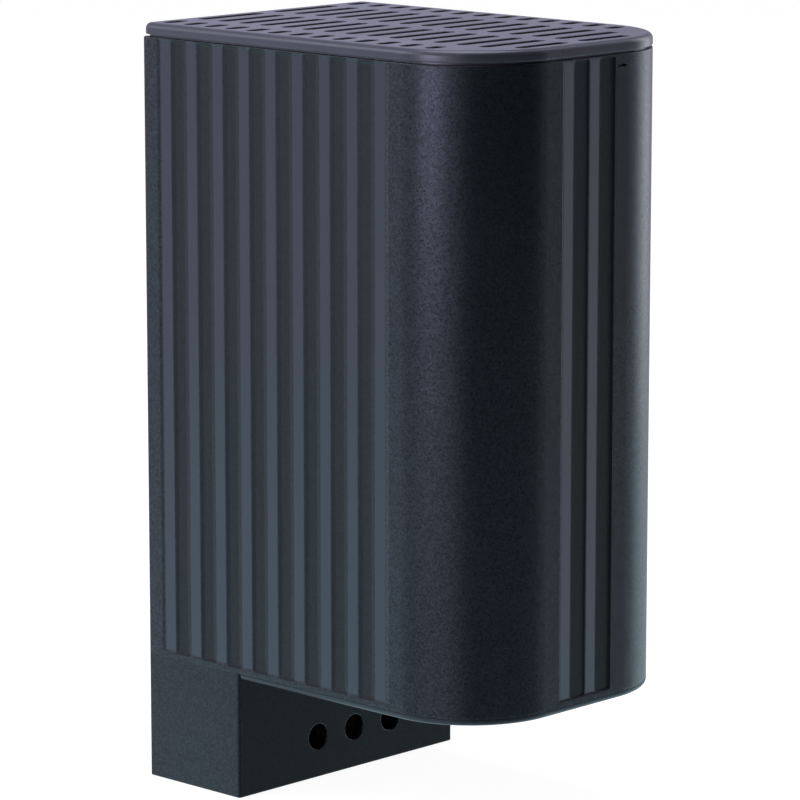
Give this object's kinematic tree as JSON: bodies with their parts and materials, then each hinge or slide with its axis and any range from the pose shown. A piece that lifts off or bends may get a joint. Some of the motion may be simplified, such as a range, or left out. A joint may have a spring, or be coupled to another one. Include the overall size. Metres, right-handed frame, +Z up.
{
  "type": "enclosure heater",
  "caption": "Touch-safe enclosure heater: a D-shaped ribbed black plastic tower with vent lid, finned PTC core, terminal compartment and a clip for a 35 mm rail.",
  "frame": {"origin": "middle of the rail, on the plane where the rail's flanges meet the clip", "axes": "+Z up, +Y to the rail behind the heater, X across the width, front towards -Y"},
  "size_m": [0.0616, 0.0936, 0.1523],
  "materials": {
    "casing": "fine spark grain, with smooth ribs",
    "lid": "fine spark grain",
    "alloy": "plain extruded",
    "stone": "matt with metal coat",
    "film": "clear amber film",
    "terminal": "plain moulded",
    "brass": "tinned and plain brass",
    "steel": "zinc plated",
    "lead_brown": "smooth sleeve",
    "lead_blue": "smooth sleeve",
    "lead_green": "smooth sleeve"
  },
  "bodies": {
    "root": {"housing": "casing", "top_grille": "lid", "bottom_grille": "casing", "base_cover": "casing", "heater_profile": "alloy", "live_plate": "alloy", "neutral_plate": "alloy", "front_film": "film", "rear_film": "film", "terminal_body": "terminal", "live_clamp": "brass", "neutral_clamp": "brass", "earth_clamp": "brass", "clamp_screws": "steel", "live_lead": "lead_brown", "neutral_lead": "lead_blue", "earth_lead": "lead_green", "live_sleeve": "brass", "neutral_sleeve": "brass", "earth_lug": "steel", "earth_screw": "steel", "rail_clip": "steel", "clip_screws": "steel", "ptc_stone_1": "stone", "ptc_stone_2": "stone", "ptc_stone_3": "stone", "ptc_stone_4": "stone"}
  },
  "joints": []
}
